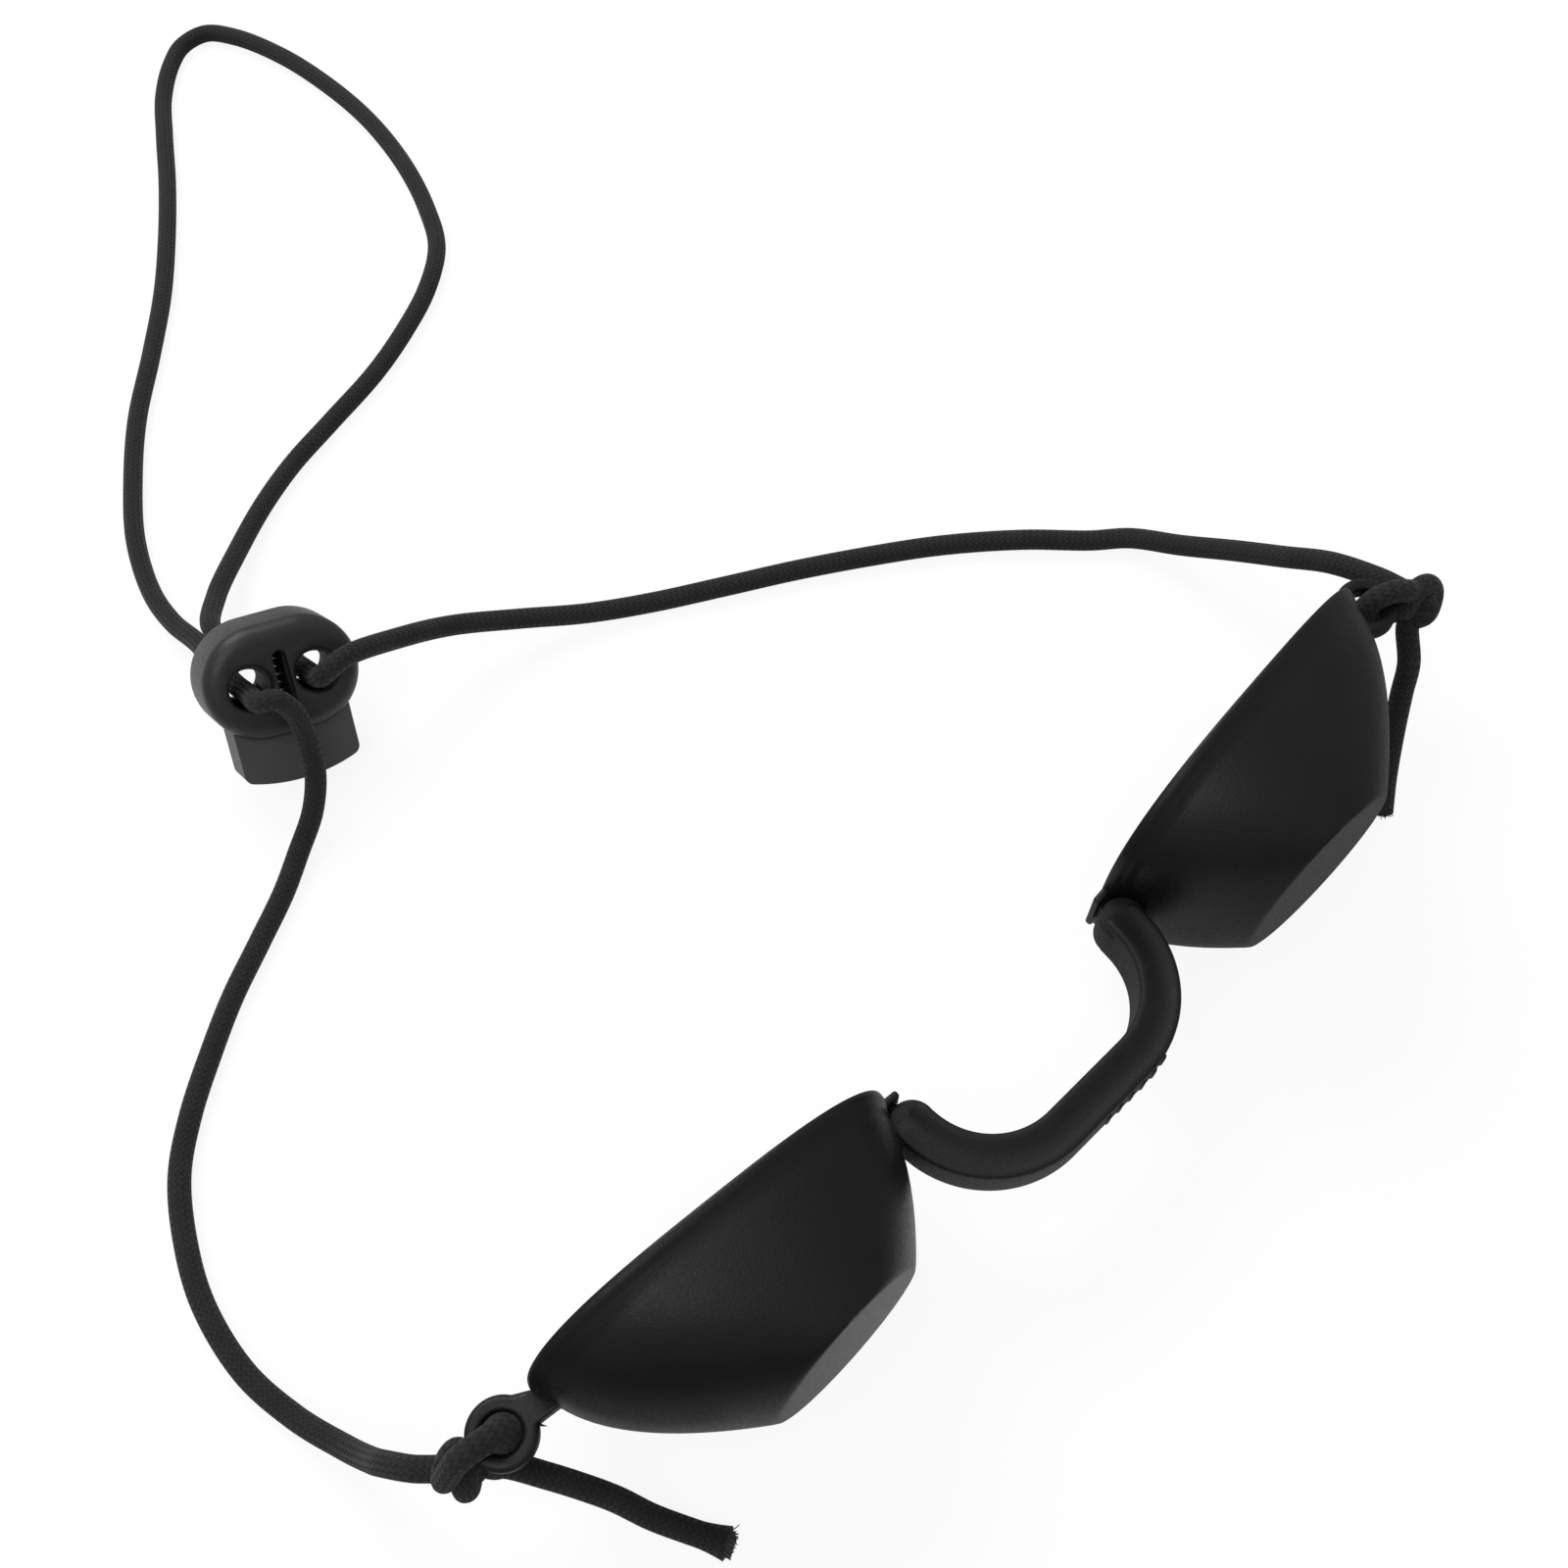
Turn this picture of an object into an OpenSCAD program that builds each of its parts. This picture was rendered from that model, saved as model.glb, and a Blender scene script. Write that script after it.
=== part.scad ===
// Laser safety eye patch: two opaque cups, a nose bridge and an elastic cord with a twin-hole cord lock.
// Millimetres. X runs across the face, the blank fronts face -Y, Z is up. It rests on the plane z = 0.

/* [Cups] */
// width of a cup's opening, from the nose side to the temple side
rim_w = 42; // [36:0.5:50]
// height of a cup's opening
rim_h = 35.7; // [30:0.5:44]
// depth of a cup, from the opening to the middle of its flat front
cup_depth = 15.8; // [12:0.2:20]
// width of the flat oval front
front_w = 19; // [14:0.5:24]
// height of the flat oval front
front_h = 28.4; // [22:0.5:32]
// how far the flat front sits toward the nose from the middle of the opening
front_in = 4.2; // [0:0.2:6]
// thickness of a cup's wall
wall = 1.6; // [1:0.1:2.4]
// thickness of the flat front
front_t = 2; // [1.2:0.1:3]
// how far the lip of the opening stands out
lip = 0.6; // [0.3:0.1:1.2]
// distance between the two openings across the nose
cup_gap = 33.6; // [28:0.4:40]

/* [Cord Tabs] */
// distance of the cord hole beyond the opening's outer end
tab_reach = 5; // [4:0.2:7]
// thickness of a tab
tab_t = 2.2; // [1.8:0.1:3]
// radius of a tab's round eye
tab_r = 3.5; // [3.3:0.1:4.5]
// diameter of a tab's cord hole
tab_hole_d = 4; // [3.6:0.1:4.2]
// width of a tab where it leaves the cup
tab_root = 3; // [2.4:0.1:3.6]

/* [Nose Bridge] */
// height of the bridge
bridge_h = 8; // [6:0.2:9]
// thickness of the bridge from its inner to its outer face
bridge_t = 4.4; // [3:0.2:5]
// how far the bridge's front stands before the openings
bridge_reach = 16.7; // [14:0.1:19]
// radius of the barrels that the bridge's ends push onto
pin_r = 1.15; // [1:0.05:1.3]
// number of plain grip ribs on the bridge's front
rib_count = 6; // [0:1:8]

/* [Cord] */
// diameter of the cord
cord_d = 2.6; // [2.2:0.1:3]

/* [Cord Lock] */
// length of the lock across its two holes
lock_w = 19; // [17:0.5:24]
// width of the lock's body along the plunger
lock_h = 14; // [13:0.5:17]
// thickness of the lock's body
lock_t = 9.5; // [8.5:0.5:12]
// distance between the two cord holes
hole_pitch = 8.2; // [7.6:0.2:9]
// diameter of a cord hole in the lock's body
lock_hole_d = 5.4; // [4.8:0.1:5.8]
// distance from the lock's middle to the plunger's free end
plunger_reach = 13; // [11.5:0.5:15]
// travel of the plunger when pressed
press = 2.5; // [1.5:0.1:2.5]

/* [Rest] */
// how far the fronts tip down on the table
pitch = 8; // [0:1:15]

/* [Hidden] */

// fits
pin_fit = 0.05;
slide_fit = 0.15;
swing_gap = 0.3;

// cup shape: the opening's squareness, the wall's curve, the front's outward turn and the wrap of the face
corner = 2.8;
bulge = 1.8;
turn = 7;
wrap = 5;
lip_t = 1.05;
cup_sides = 48;
wall_steps = 7;

// hinge barrel of the right cup, in its cup's frame and in the goggles' frame
pin_in = [-1.6, -3.65, 0];
pin_at = on_goggles(pin_in, 1);
pin_x = pin_at[0];
pin_y = pin_at[1];
knuckle_r = pin_r + 1.3;
barrel_half = 1.5;
web_t = 0.9;
flange_half = 3.3;
flange_in = 0.7;

// bridge: the section's heights at its groove and its outer face, as shares, and the outline of the bow
groove_at = 0.58;
groove_h = 0.62;
outer_h = 0.74;
knuckle_h = groove_h * bridge_h;
arm_past = sqrt(pow(knuckle_r - 0.05, 2) - pow(bridge_t / 2, 2));
lean = 4;
mid_y = bridge_t / 2 - bridge_reach;
bend_r = min(10.3, 0.92 * (pin_y - mid_y) / (1 - sin(lean)), pin_x - 2);
arm_l = (pin_y - mid_y - bend_r * (1 - sin(lean))) / cos(lean);
flat_x = pin_x - arm_l * sin(lean) - bend_r * cos(lean);

// cord lock
lock_turn = [54, 16, -15];
plunger_half = lock_w / 2 - 2.3;
plunger_t = lock_t - 4;
end_r = 1.2;
crown_r = 20;
sag = (lock_hole_d - cord_d) / 2 - slide_fit;
slot_w = lock_hole_d - 0.8;
slot_top = 2;
slot_bottom = -sag - cord_d / 2 - 0.1 - press;
roof = lock_h / 2 - 1.05;
seat = roof - press - 0.15;
spring_floor = -4.5;
spring_r = 1.02;
spring_wire = 0.35;
spring_turns = 10;

$fn = 48;

function spow(v, e) = sign(v) * pow(abs(v), e);
function unit(v) = v / norm(v);
function turn_x(p, a) = [p[0], p[1] * cos(a) - p[2] * sin(a), p[1] * sin(a) + p[2] * cos(a)];
function turn_y(p, a) = [p[0] * cos(a) + p[2] * sin(a), p[1], -p[0] * sin(a) + p[2] * cos(a)];
function turn_z(p, a) = [p[0] * cos(a) - p[1] * sin(a), p[0] * sin(a) + p[1] * cos(a), p[2]];

// a cup in its own frame: x from the opening's nose end, y = 0 the opening's plane, z = 0 its middle
function rim_at(t, grow) =
    [rim_w / 2 + (rim_w / 2 + grow) * spow(cos(t), 2 / corner), 0,
     (rim_h / 2 + grow) * spow(sin(t), 2 / corner)];
function front_at(t, grow, depth) =
    let (x = (front_w / 2 + grow) * cos(t))
    [rim_w / 2 - front_in + x, -depth - x * tan(turn), (front_h / 2 + grow) * sin(t)];
function wall_at(t, s, grow, depth) =
    let (a = rim_at(t, grow), b = front_at(t, grow, depth), k = pow(s, bulge))
    [a[0] + (b[0] - a[0]) * k, b[1] * s, a[2] + (b[2] - a[2]) * k];
function wall_ring(s, grow, depth) =
    [for (i = [0:cup_sides - 1]) wall_at(360 * i / cup_sides, s, grow, depth)];
function rim_ring(grow, y) = [for (i = [0:cup_sides - 1]) rim_at(360 * i / cup_sides, grow) + [0, y, 0]];

// middle of the tab's cord hole, which runs up and down
hole_flat = [rim_w + tab_reach, -1.6];
hole_at = [hole_flat[0], hole_flat[1], 0];

// from a cup's frame to the goggles, then onto the table
function on_goggles(p, side) = let (q = turn_z(p, wrap)) [side * (cup_gap / 2 + q[0]), q[1], q[2]];
cup_shell = concat(rim_ring(lip, 0), [for (i = [1:8]) each wall_ring(i / 8, 0, cup_depth)]);
tipped = [for (p = cup_shell) turn_x(on_goggles(p, 1), pitch)];
lift = -min([for (p = tipped) p[2]]);
eye_edge = [for (a = [0:15:180]) hole_at + [tab_r * cos(a), tab_r * sin(a), -tab_t / 2]];
eye_back = [for (p = eye_edge) turn_x(on_goggles(p, 1), pitch)[1]];
shift_y = -(min([for (p = tipped) p[1]]) + max(max(eye_back), max([for (p = tipped) p[1]]))) / 2;
function on_table(p) = turn_x(p, pitch) + [0, shift_y, lift];

// lock frame: x along the lock, y away from the plunger's free end, z out of its face
function lock_dir(p) = turn_z(turn_y(turn_x(p, lock_turn[0]), lock_turn[1]), lock_turn[2]);
crown_a = asin((plunger_half - end_r) / (crown_r - end_r));
corner_y = crown_r - plunger_reach - (crown_r - end_r) * cos(crown_a);
low_corners = [for (a = [-1, 1], b = [-1, 1])
               lock_dir([a * (plunger_half - end_r), corner_y, b * plunger_t / 2])[2]];
reach_down = end_r * norm([lock_dir([1, 0, 0])[2], lock_dir([0, 1, 0])[2]]);
lock_at = [-26.2, 98.6, reach_down - min(low_corners)];
function on_lock(p) = lock_at + lock_dir(p);

// knots: middle, and the directions in which the long stretch and the tail leave
left_hole = on_table(on_goggles(hole_at, -1));
right_hole = on_table(on_goggles(hole_at, 1));
left_knot_at = left_hole + [-4.9, 1.2, -3];
right_knot_at = right_hole + [5.6, -3.2, -0.6];
left_knot_dir = unit([-0.68, 0.73, -0.1]);
right_knot_dir = unit([-0.05, 0.98, -0.15]);
left_tail_dir = unit([0.75, -0.45, -0.48]);
right_tail_dir = unit([-0.36, -0.1, -0.93]);
knot_half = 3.2;
eye_r = (tab_hole_d / 2 + tab_r) / 2;

// cord routes on the table, after the points that the knots and the lock give
left_route = [
    [-73.8, 15.4, 12.6], [-74.9, 18.4, 8], [-76.4, 23, 3.8], [-78.4, 29.8, 1.5], [-79.5, 37.4, 1.3],
    [-78.5, 46.4, 1.3], [-76, 53.4, 1.3], [-72, 60.4, 1.3], [-67, 65.4, 1.3], [-61, 69.9, 1.3],
    [-55, 73.9, 1.3], [-48.5, 77.4, 1.3], [-42.5, 80.6, 1.4], [-38, 83.2, 2.2], [-33.6, 85.2, 4.2],
    [-30.5, 87.2, 7.4], [-28.9, 89.3, 11], [-28.4, 90.6, 14.4], [-29.3, 91.7, 17.2]];
right_route = [
    [-22.3, 91.4, 15.9], [-19.6, 91.2, 16.2], [-12.8, 91.3, 12.6], [-5.8, 91, 8.2], [1.5, 88, 4.8],
    [9, 83.7, 2.3], [16, 79.4, 1.4], [24, 74.4, 1.3], [32, 69.4, 1.3], [40, 63.9, 1.3],
    [47.5, 58.2, 1.3], [55, 51.2, 1.3], [60.6, 44.8, 1.3], [63.8, 41, 2], [65.7, 34.5, 4.4],
    [66.9, 27.4, 8.4], [67.4, 21, 12.4], [68.4, 15.2, 15.4]];
loop_route = [
    [-29.5, 110.4, 6.4], [-28.9, 116.8, 4], [-29, 123.4, 2.2], [-28, 130.4, 1.3], [-24.5, 139.4, 1.3],
    [-18.5, 148.9, 1.3], [-12, 157.4, 1.3], [-4, 165.7, 1.3], [4, 174.4, 1.3], [11, 183.4, 1.3],
    [18, 193.4, 1.3], [24, 202.9, 1.3], [29, 210.4, 1.3], [34.2, 215.8, 1.3], [38.2, 218.2, 1.3],
    [42.3, 217.7, 1.3], [45, 213.2, 1.3], [47.3, 203.4, 1.3], [48, 191.4, 1.3], [47.3, 179.9, 1.3],
    [44.8, 167.9, 1.3], [41.2, 157.9, 1.3], [37.3, 150.7, 1.3], [31, 145.2, 1.3], [24, 141.4, 1.3],
    [16, 138.2, 1.3], [6, 135.7, 1.3], [-2, 133.7, 1.3], [-9, 130.8, 1.5], [-16, 126.4, 2.4],
    [-23, 120.4, 4.6], [-26.8, 114.6, 6.8], [-25.6, 109.4, 7.2]];
left_tail_route = [
    [-63.3, 3.9, 10.8], [-61.5, 1.3, 8.4], [-59.9, -1.2, 5.6], [-58.5, -4.2, 3], [-56.8, -7.3, 1.6],
    [-54.8, -11, 1.3]];
right_tail_route = [
    [65.4, 1.4, 12], [64, 0.5, 8], [61.4, -1.1, 4.2], [57.7, -3.4, 1.6], [53.8, -5.9, 1.3]];

// the cord's middle line through a lock hole, from behind to the face or back
function in_lock(side, z) = on_lock([side * hole_pitch / 2, -sag, z]);
left_path = concat([for (s = [knot_half, knot_half + 1.6]) left_knot_at + s * left_knot_dir], left_route,
                   [in_lock(-1, lock_t / 2 + 2.2), in_lock(-1, lock_t / 2 - 1.5), in_lock(-1, 0)]);
right_path = concat([in_lock(1, 0), in_lock(1, lock_t / 2 - 1.5)], right_route,
                    [for (s = [knot_half + 1.6, knot_half]) right_knot_at + s * right_knot_dir]);
loop_path = concat([in_lock(-1, 0), in_lock(-1, -lock_t / 2)], loop_route,
                   [in_lock(1, -lock_t / 2 - 2.5), in_lock(1, -lock_t / 2), in_lock(1, 0)]);
left_tail_path = concat([for (s = [knot_half, knot_half + 1]) left_knot_at + s * left_tail_dir],
                        left_tail_route);
right_tail_path = concat([for (s = [knot_half, knot_half + 1]) right_knot_at + s * right_tail_dir],
                         right_tail_route);

// a round tube along a path: the first cross direction is carried along, so the tube doesn't twist
function tangents(p) = [for (i = [0:len(p) - 1]) unit(p[min(i + 1, len(p) - 1)] - p[max(i - 1, 0)])];
function across(t) = unit(cross(t, abs(t[2]) < 0.9 ? [0, 0, 1] : [1, 0, 0]));
function carried(t, i, n) =
    i == len(t) ? [] : let (m = unit(n - (n * t[i]) * t[i])) concat([m], carried(t, i + 1, m));
function tube_points(p, r, sides) =
    let (t = tangents(p), n = carried(t, 0, across(t[0])))
    [for (i = [0:len(p) - 1], k = [0:sides - 1])
        p[i] + r * (cos(360 * k / sides) * n[i] + sin(360 * k / sides) * cross(t[i], n[i]))];
function skin_faces(rings, sides) = concat(
    [for (i = [0:rings - 2], k = [0:sides - 1])
        each let (a = i * sides + k, b = i * sides + (k + 1) % sides)
        [[a, a + sides, b], [b, a + sides, b + sides]]],
    [[for (k = [0:sides - 1]) k], [for (k = [sides - 1:-1:0]) (rings - 1) * sides + k]]);

module tube(path, r, sides) {
    polyhedron(tube_points(path, r, sides), skin_faces(len(path), sides));
}

// lengths and the spring's least gap between its curls, on its points
function path_len(p, i = 1) = i >= len(p) ? 0 : norm(p[i] - p[i - 1]) + path_len(p, i + 1);
spring_start = spring_floor + spring_wire / 2 + 0.05;
spring_len = roof - spring_wire / 2 - 0.05 - spring_start;
spring_rise = spring_len / (8 * spring_turns);
spring_path = [for (i = [0:8 * spring_turns])
               [spring_r * cos(45 * i), spring_start + spring_rise * i, spring_r * sin(45 * i)]];
spring_gap = min([for (i = [0:len(spring_path) - 6], j = [i + 5:min(i + 9, len(spring_path) - 1)])
                  norm(spring_path[j] - spring_path[i])]) - spring_wire;
echo(cord_lengths = [path_len(left_path), path_len(loop_path), path_len(right_path),
                     path_len(left_tail_path), path_len(right_tail_path)]);
echo(spring_least_gap = spring_gap);
echo(lift = lift, shift_y = shift_y, lock_at = lock_at);
echo(left_hole = left_hole, right_hole = right_hole);
echo(left_start = left_path[0], right_end = right_path[len(right_path) - 1]);
echo(left_lock = [in_lock(-1, lock_t / 2 + 2.2), in_lock(-1, lock_t / 2 - 1.5), in_lock(-1, 0)]);
echo(right_lock = [in_lock(1, 0), in_lock(1, lock_t / 2 - 1.5)]);
echo(loop_lock = [in_lock(-1, -lock_t / 2), in_lock(1, -lock_t / 2 - 2.5), in_lock(1, -lock_t / 2)]);
echo(tail_starts = [left_tail_path[0], right_tail_path[0]]);
echo(knots = [left_knot_at, right_knot_at]);

// stands the goggles on the table
module stand() {
    translate([0, shift_y, lift]) rotate([pitch, 0, 0]) children();
}

// the hollow cup: inside from the front to the rim, over the lip, and outside back to the front
module cup_body() {
    inside = [for (i = [wall_steps:-1:1]) wall_ring(i / wall_steps, -wall, cup_depth - front_t)];
    neck = wall_ring(lip_t / cup_depth, 0, cup_depth);
    edge = [rim_ring(-wall, 0), rim_ring(lip, 0), rim_ring(lip, -lip_t), neck];
    outside = [for (i = [1:wall_steps]) wall_ring(i / wall_steps, 0, cup_depth)];
    rings = concat(inside, edge, outside);
    polyhedron([for (r = rings) each r], skin_faces(len(rings), cup_sides));
}

// flat tab with a round eye, on a stem that widens toward the rim's plane
module tab_plate() {
    translate([0, 0, -tab_t / 2]) linear_extrude(tab_t) {
        polygon([[rim_w - 0.9, -0.1], [rim_w + lip + 0.1, -0.1], hole_flat + tab_r * [-0.74, 0.65],
                 hole_flat + tab_r * [-0.9, -0.4], [rim_w - 2, -0.1 - tab_root],
                 [rim_w - 1.4, -0.6 * tab_root]]);
        translate(hole_flat) circle(r = tab_r);
    }
}

// flange beside the rim, in the cup's frame
module hinge_flange() {
    low = pin_in[1] + knuckle_r + swing_gap;
    translate([pin_in[0] - flange_in, low, -flange_half])
        cube([flange_in - pin_in[0] + 0.5, -0.1 - low, 2 * flange_half]);
}

// barrel on its web, in the goggles' frame
module hinge_barrel() {
    translate([pin_x - web_t / 2, pin_y, -barrel_half])
        cube([web_t, knuckle_r + swing_gap + 0.4, 2 * barrel_half]);
    translate([pin_x, pin_y, 0]) cylinder(r = pin_r, h = 2 * barrel_half, center = true);
}

module cup() {
    difference() {
        translate([cup_gap / 2, 0, 0]) rotate([0, 0, wrap]) difference() {
            union() {
                cup_body();
                tab_plate();
                hinge_flange();
            }
            translate(hole_at) cylinder(d = tab_hole_d, h = tab_t + 2, center = true);
        }
        translate([pin_x, pin_y, 0])
            cylinder(r = knuckle_r + swing_gap, h = bridge_h + 2.2, center = true);
    }
    hinge_barrel();
}

module right_cup() {
    color("#1b1b1c") stand() cup();
}

module left_cup() {
    color("#1b1b1c") stand() mirror([1, 0, 0]) cup();
}

// bridge section: x from the inner to the outer face, y along its height, a shallow groove above and below
module bridge_section() {
    h = bridge_h / 2;
    side = groove_at * bridge_t;
    polygon([[0, -h], [side, -groove_h * h], [bridge_t, -outer_h * h],
             [bridge_t, outer_h * h], [side, groove_h * h], [0, h]]);
}

// a straight length that starts at a bend's end, with its outer face toward the angle
module straight(angle, length) {
    rotate([0, 0, angle]) translate([bend_r - bridge_t / 2, length, 0]) rotate([90, 0, 0])
        linear_extrude(length) bridge_section();
}

module bridge_half() {
    difference() {
        union() {
            translate([flat_x, mid_y + bend_r, 0]) {
                rotate([0, 0, -90]) rotate_extrude(angle = 90 - lean) translate([bend_r - bridge_t / 2, 0])
                    bridge_section();
                straight(-lean, arm_l + arm_past);
            }
            translate([0, mid_y + bend_r, 0]) straight(-90, flat_x);
            translate([pin_x, pin_y, 0]) cylinder(r = knuckle_r, h = knuckle_h, center = true);
        }
        translate([pin_x, pin_y, 0]) {
            cylinder(r = pin_r + pin_fit, h = 2 * barrel_half + 0.3, center = true);
            linear_extrude(2 * barrel_half + 0.3, center = true) polygon([[0, 0], [2, 3.6], [-2, 3.6]]);
        }
    }
}

module nose_bridge() {
    color("#1d1c1b") stand() {
        bridge_half();
        mirror([1, 0, 0]) bridge_half();
        if (rib_count > 0) for (i = [0:rib_count - 1])
            translate([3.6 + 1.7 * (i - (rib_count - 1) / 2), -bridge_reach + 0.15, 0])
                cylinder(r = 0.5, h = 0.62 * bridge_h * 0.6, center = true, $fn = 16);
    }
}

// a ring of cord through the tab's hole, and the wraps of the knot around the cord that runs through it
module knot(hole, mid, dir, tail_dir) {
    out = unit(mid - hole);
    bore = turn_x([0, 0, 1], pitch);
    level = unit(out - (out * bore) * bore);
    normal = cross(level, bore);
    translate(hole + eye_r * level) rotate_to(normal) rotate_extrude($fn = 24) translate([eye_r, 0])
        circle(d = cord_d, $fn = 16);
    for (v = [dir, tail_dir]) translate(mid) rotate_to(v) cylinder(d = cord_d, h = knot_half, $fn = 16);
    translate(mid) rotate_to(dir) {
        for (s = [-1, 1]) translate([0, 0, 0.8 * s]) rotate([7 * s, 5, 20]) rotate_extrude($fn = 20)
            translate([1.45 + 0.07 * s, 0]) circle(r = 0.95, $fn = 12);
    }
}

module rotate_to(v) {
    rotate([0, acos(v[2] / norm(v)), atan2(v[1], v[0])]) children();
}

module left_knot() {
    color("#2b2b2d") knot(left_hole, left_knot_at, left_knot_dir, left_tail_dir);
}

module right_knot() {
    color("#2b2b2d") knot(right_hole, right_knot_at, right_knot_dir, right_tail_dir);
}

module left_tail() {
    color("#2b2b2d") tube(left_tail_path, cord_d / 2, 8);
}

module right_tail() {
    color("#2b2b2d") tube(right_tail_path, cord_d / 2, 8);
}

module left_cord() {
    color("#2b2b2d") tube(left_path, cord_d / 2, 8);
}

module right_cord() {
    color("#2b2b2d") tube(right_path, cord_d / 2, 8);
}

module cord_loop() {
    color("#2b2b2d") tube(loop_path, cord_d / 2, 8);
}

module at_lock() {
    translate(lock_at) rotate(lock_turn) children();
}

// the lock's outline with rounded ends, and the same outline drawn in by a margin
module bean(r) {
    x = (lock_w - lock_h) / 2;
    for (s = [-1, 1]) translate([s * x, 0]) circle(r = r);
    square([2 * x, 2 * r], center = true);
}

module rounded_slot(w, top, bottom) {
    for (y = [top - w / 2, bottom + w / 2]) translate([0, y]) circle(d = w);
    translate([-w / 2, bottom + w / 2]) square([w, top - bottom - w]);
}

// body: rounded bean, hollow for the plunger, two cord holes and a middle slot in each face
module lock_body() {
    x = (lock_w - lock_h) / 2;
    edge = 2;
    color("#1c1c1e") at_lock() difference() {
        union() {
            for (s = [-1, 1]) translate([s * x, 0, 0]) rotate_extrude() bean_end(edge);
            rotate([90, 0, 90]) linear_extrude(2 * x, center = true) bean_side(edge);
        }
        linear_extrude(plunger_t + 2 * slide_fit, center = true) {
            intersection() {
                bean(roof);
                square([2 * plunger_half + 2 * slide_fit, lock_h], center = true);
            }
            translate([-plunger_half - slide_fit, -lock_h])
                square([2 * plunger_half + 2 * slide_fit, lock_h]);
        }
        for (s = [-1, 1]) translate([s * hole_pitch / 2, 0, 0]) {
            cylinder(d = lock_hole_d, h = lock_t + 2, center = true);
            for (m = [0, 1]) mirror([0, 0, m]) translate([0, 0, lock_t / 2 - 0.5])
                cylinder(d1 = lock_hole_d, d2 = lock_hole_d + 1.2, h = 0.6);
        }
        linear_extrude(lock_t + 2, center = true) rounded_slot(1.8, 3.6, -3.6);
    }
}

module bean_side(edge) {
    for (a = [-1, 1], b = [-1, 1])
        translate([a * (lock_h / 2 - edge), b * (lock_t / 2 - edge)]) circle(r = edge);
    square([lock_h - 2 * edge, lock_t], center = true);
    square([lock_h, lock_t - 2 * edge], center = true);
}

module bean_end(edge) {
    intersection() {
        bean_side(edge);
        translate([0, -lock_t]) square([lock_h, 2 * lock_t]);
    }
}

// plunger: flat slide with a long slot for each cord, a bore for the spring and a window onto it
module lock_plunger() {
    color("#18181a") at_lock() difference() {
        linear_extrude(plunger_t, center = true) difference() {
            intersection() {
                union() {
                    translate([0, seat - roof + 0.15]) bean(roof - 0.15);
                    translate([-plunger_half, corner_y]) square([2 * plunger_half, -corner_y - press]);
                    for (s = [-1, 1]) translate([s * (plunger_half - end_r), corner_y]) circle(r = end_r);
                    intersection() {
                        translate([0, crown_r - plunger_reach]) circle(r = crown_r);
                        translate([-crown_r * sin(crown_a), -plunger_reach])
                            square([2 * crown_r * sin(crown_a), plunger_reach - press]);
                    }
                }
                square([2 * plunger_half, 4 * lock_h], center = true);
            }
            for (s = [-1, 1]) translate([s * hole_pitch / 2, 0]) rounded_slot(slot_w, slot_top, slot_bottom);
        }
        translate([0, spring_floor, 0]) rotate([-90, 0, 0]) cylinder(r = spring_r + 0.33, h = lock_h);
        translate([-0.8, spring_floor, 0]) cube([1.6, lock_h, plunger_t]);
    }
}

module lock_spring() {
    color("#b8b8ba") at_lock() tube(spring_path, spring_wire / 2, 6);
}

left_cup();
right_cup();
nose_bridge();
left_knot();
right_knot();
left_tail();
right_tail();
left_cord();
right_cord();
cord_loop();
lock_body();
lock_plunger();
lock_spring();
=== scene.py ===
import bpy, bmesh, math, random
from math import sin, cos, tan, pi, radians, sqrt, atan2
from mathutils import Vector, Matrix, Euler


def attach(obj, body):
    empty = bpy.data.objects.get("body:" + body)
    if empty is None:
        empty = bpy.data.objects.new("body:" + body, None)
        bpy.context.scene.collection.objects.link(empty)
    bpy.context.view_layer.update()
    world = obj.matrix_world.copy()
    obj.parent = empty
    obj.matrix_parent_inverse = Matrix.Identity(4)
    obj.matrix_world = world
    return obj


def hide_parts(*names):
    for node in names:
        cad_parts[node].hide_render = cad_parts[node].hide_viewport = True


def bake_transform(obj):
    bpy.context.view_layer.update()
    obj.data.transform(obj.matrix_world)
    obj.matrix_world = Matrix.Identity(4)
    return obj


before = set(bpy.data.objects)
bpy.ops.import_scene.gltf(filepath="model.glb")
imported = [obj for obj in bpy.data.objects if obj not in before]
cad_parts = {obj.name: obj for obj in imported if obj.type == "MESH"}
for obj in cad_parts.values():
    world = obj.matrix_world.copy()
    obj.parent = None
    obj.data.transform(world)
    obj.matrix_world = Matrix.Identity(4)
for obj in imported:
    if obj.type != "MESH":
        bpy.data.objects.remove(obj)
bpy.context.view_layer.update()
MM = 0.001

# Shapes are worked out in mm, and make() turns them into metres. The floor and the lights are in metres.

# Sizes, as in the part's source
RIM_W, RIM_H, DEPTH, FRONT_W, FRONT_H, FRONT_IN = 42.0, 35.7, 15.8, 19.0, 28.4, 4.2
WALL, FRONT_T, LIP, CUP_GAP = 1.6, 2.0, 0.6, 33.6
CORNER, BULGE, TURN, WRAP, PITCH = 2.8, 1.8, radians(7), radians(5), radians(8)
TAB_REACH, TAB_T, TAB_R, TAB_HOLE, TAB_ROOT = 5.0, 2.2, 3.5, 4.0, 3.0
BRIDGE_H, BRIDGE_T, BRIDGE_REACH, LEAN = 8.0, 4.4, 16.7, radians(4)
GROOVE_AT, GROOVE_H, OUTER_H = 0.58, 0.62, 0.74
PIN_IN = (-1.6, -3.65)
PIN_X = CUP_GAP / 2 + PIN_IN[0] * cos(WRAP) - PIN_IN[1] * sin(WRAP)
PIN_Y = PIN_IN[0] * sin(WRAP) + PIN_IN[1] * cos(WRAP)
PIN_R, PIN_FIT, SWING_GAP, BARREL_HALF, FLANGE_HALF, FLANGE_IN = 1.15, 0.05, 0.3, 1.5, 3.3, 0.7
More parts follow.
